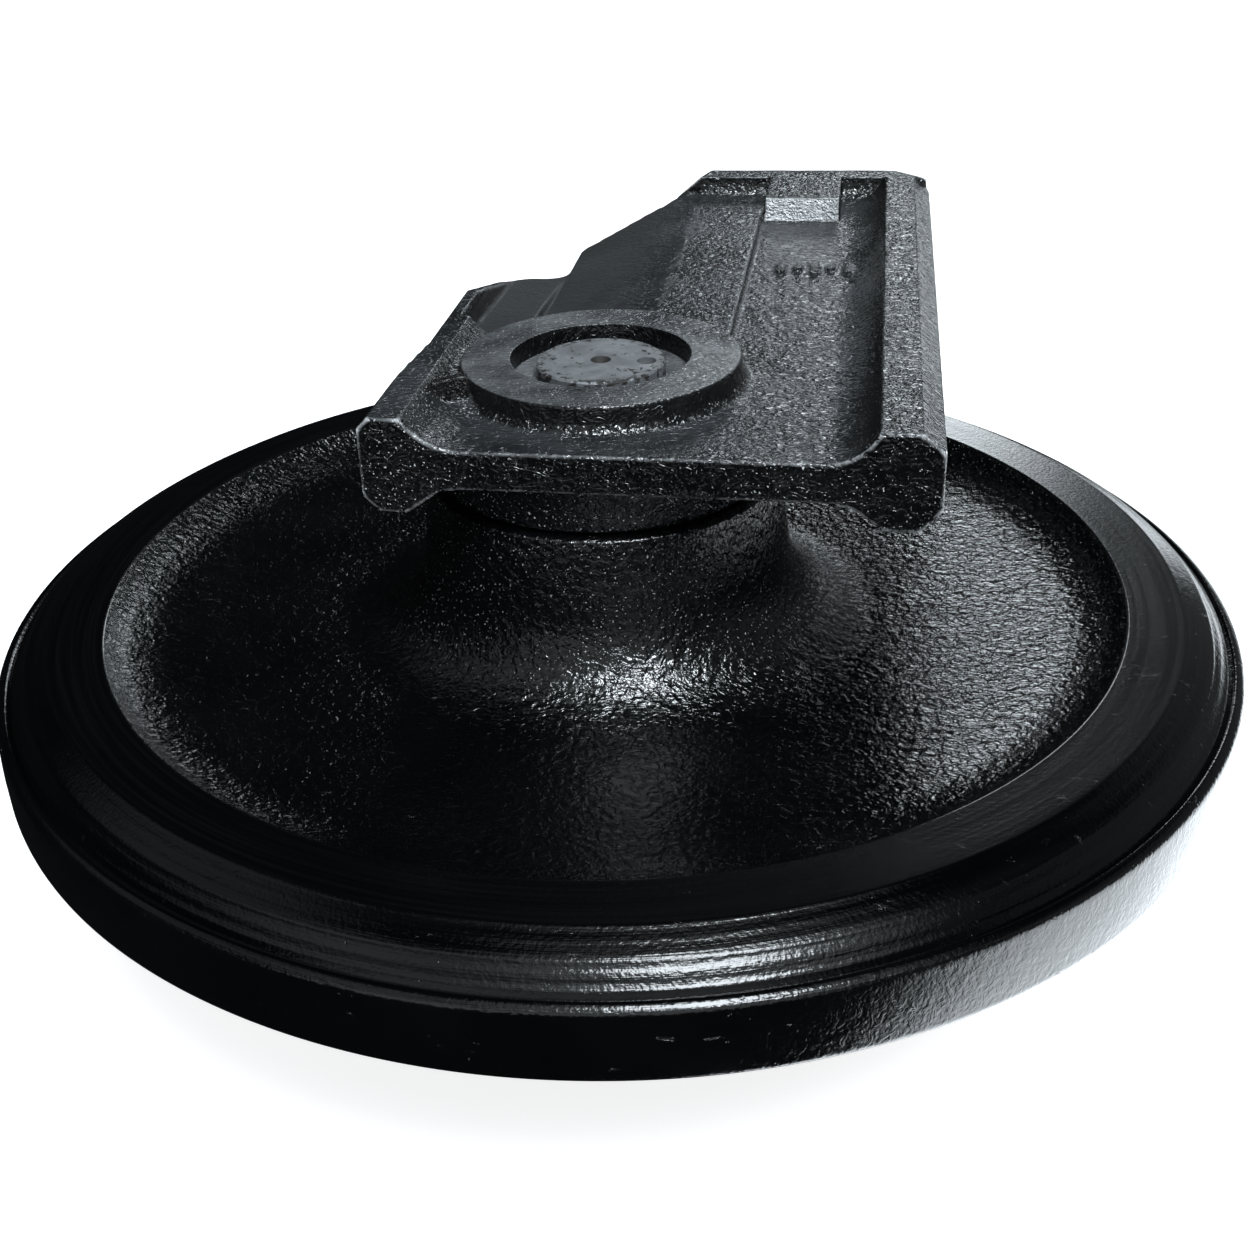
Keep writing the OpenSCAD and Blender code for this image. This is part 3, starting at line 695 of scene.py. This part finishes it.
# Direction as two angles in degrees: turn from the rear towards the right, rise from level.
turn = sums(t, "MULTIPLY", sums(t, "ARCTAN2", xyz[0], xyz[1]), 180 / math.pi)
rise = sums(t, "MULTIPLY", sums(t, "ARCSINE", xyz[2]), 180 / math.pi)


def band(value, low, high, soft):
    """1 between low and high, fading out over soft on both sides"""
    a = ramp(t, value, low - soft, low + soft)
    b = ramp(t, value, high - soft, high + soft, 1.0, 0.0)
    return sums(t, "MULTIPLY", a, b)


lean = sums(t, "MULTIPLY_ADD", turn, 2.0, sums(t, "MULTIPLY", rise, 1.2))
back_wall = sums(t, "MULTIPLY", band(rise, 8, 25.5, 3), ramp(t, lean, 14.5, 20.5))
back_wall = sums(t, "MULTIPLY", back_wall, band(turn, -90, 6, 2.5))
right_wall = sums(t, "MULTIPLY", band(rise, 0, 34, 6), band(turn, 4, 110, 8))
right_low = sums(t, "MULTIPLY", band(rise, -80, -9, 7), band(turn, 24, 112, 14))
front_fill = sums(t, "MULTIPLY", band(rise, 38, 62, 8), ramp(t, xyz[1], -0.1, -0.5))
front_wall = sums(t, "MULTIPLY", band(rise, 4, 30, 5), ramp(t, xyz[1], -0.6, -0.85))
high_back = sums(t, "MULTIPLY", band(rise, 37, 50, 5), band(turn, -10, 50, 12))
left_fill = sums(t, "MULTIPLY", band(rise, 30, 60, 8), band(turn, -150, -70, 14))
aim = Vector((0.25, -0.45, 0.86)).normalized()
near = add(t, "ShaderNodeVectorMath", {0: direction, 1: aim}, operation="DOT_PRODUCT").outputs["Value"]
glow_edge, glow_full, box_full = (math.cos(math.radians(degrees)) for degrees in (34, 14, 7))
glow = ramp(t, near, glow_edge, glow_full)
soft_box = ramp(t, near, glow_full, box_full)
chamfer_wall = sums(t, "MULTIPLY", band(rise, -7, 9, 3), band(turn, 12, 24, 4))
light = sums(t, "MULTIPLY", back_wall, 7.6)
for field, strength in ((chamfer_wall, 2.6), (right_wall, 0.15), (front_wall, 0.75), (right_low, 4.2),
                        (front_fill, 0.5), (left_fill, 0.3), (soft_box, 38.0), (glow, 1.0),
                        (high_back, 0.09)):
    light = sums(t, "MULTIPLY_ADD", field, strength, light)
light = sums(t, "ADD", light, 0.009)
# The camera itself sees a plain bright background.
seen = add(t, "ShaderNodeLightPath").outputs["Is Camera Ray"]
light = sums(t, "MULTIPLY", light, sums(t, "SUBTRACT", 1.0, seen))
light = sums(t, "ADD", light, seen)
background = t.nodes["Background"]
t.links.new(light, background.inputs["Strength"])
background.inputs["Color"].default_value = (0.88, 0.95, 1.0, 1)

bpy.context.scene.view_settings.view_transform = "Standard"
